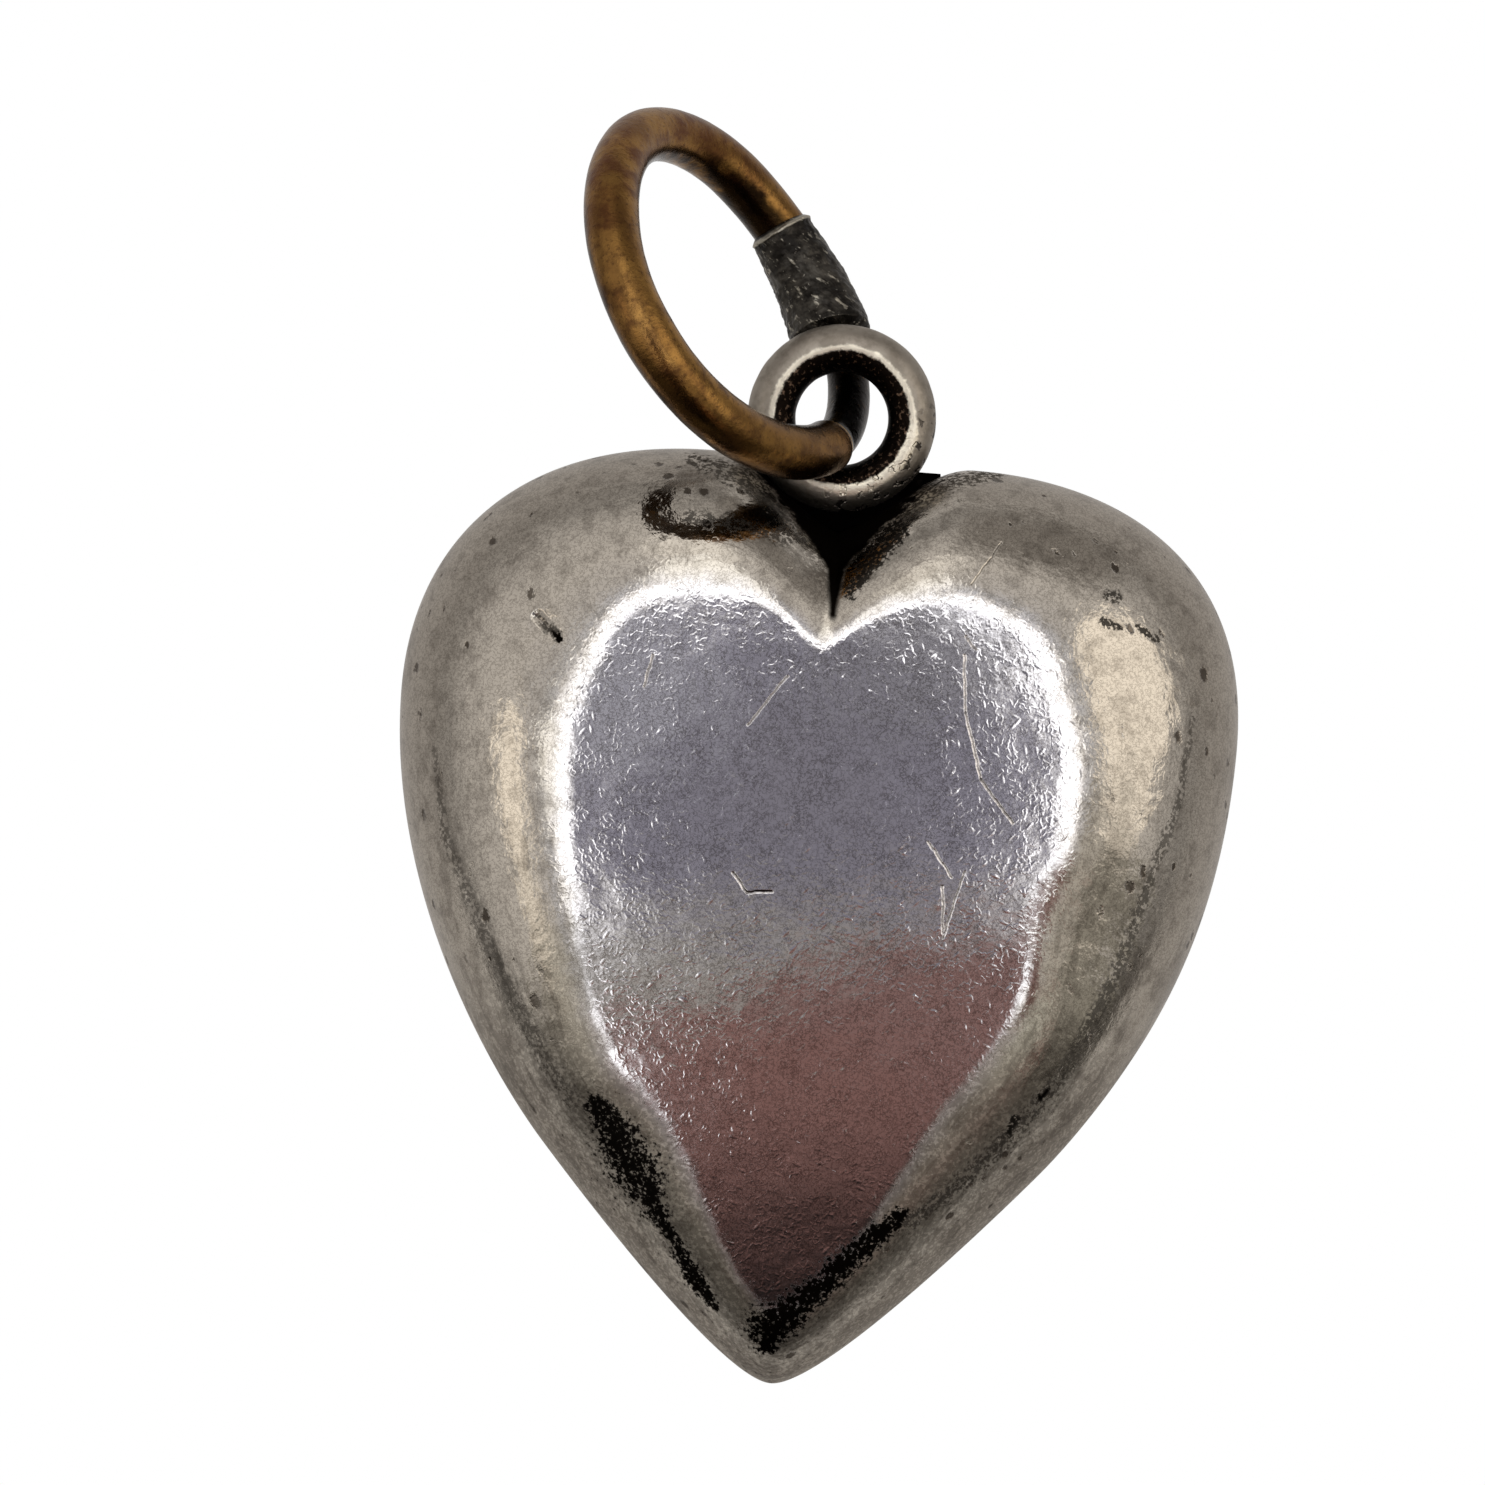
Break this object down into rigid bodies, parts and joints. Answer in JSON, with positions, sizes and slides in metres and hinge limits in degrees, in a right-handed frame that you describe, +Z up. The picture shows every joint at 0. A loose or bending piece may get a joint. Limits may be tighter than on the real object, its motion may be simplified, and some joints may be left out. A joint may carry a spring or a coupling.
{
  "type": "puffy heart pendant",
  "caption": "Hollow puffy heart pendant of soldered half shells, hanging by a soldered bail from a repaired brass jump ring.",
  "frame": {"origin": "inner side of the jump ring at its top, where a chain bears", "axes": "+X to the heart's left lobe as worn, which is the right one in the picture, -Y out of the front face, +Z up from tip to lobes"},
  "size_m": [0.0157, 0.0078, 0.0234],
  "materials": {
    "worn_silver": "worn, finely scratched silver, tarnished in its hollows",
    "silver_solder": "dull silver solder",
    "aged_brass": "aged brass wire with brown patina",
    "lead_solder": "rough, dark soft solder",
    "blackened_solder": "solder blackened by tarnish"
  },
  "bodies": {
    "ring": {"jump_ring": "aged_brass", "ring_solder": "lead_solder"},
    "heart": {"front_shell": "worn_silver", "back_shell": "worn_silver", "seam_solder": "silver_solder", "bail": "worn_silver", "bail_solder": "blackened_solder"}
  },
  "joints": [
    {"name": "heart_swing", "type": "hinge", "parent": "ring", "child": "heart", "pos_m": [0.00388, 0.00123, -0.00435], "axis": [0, 1, 0], "range_deg": [-110, 60]}
  ]
}
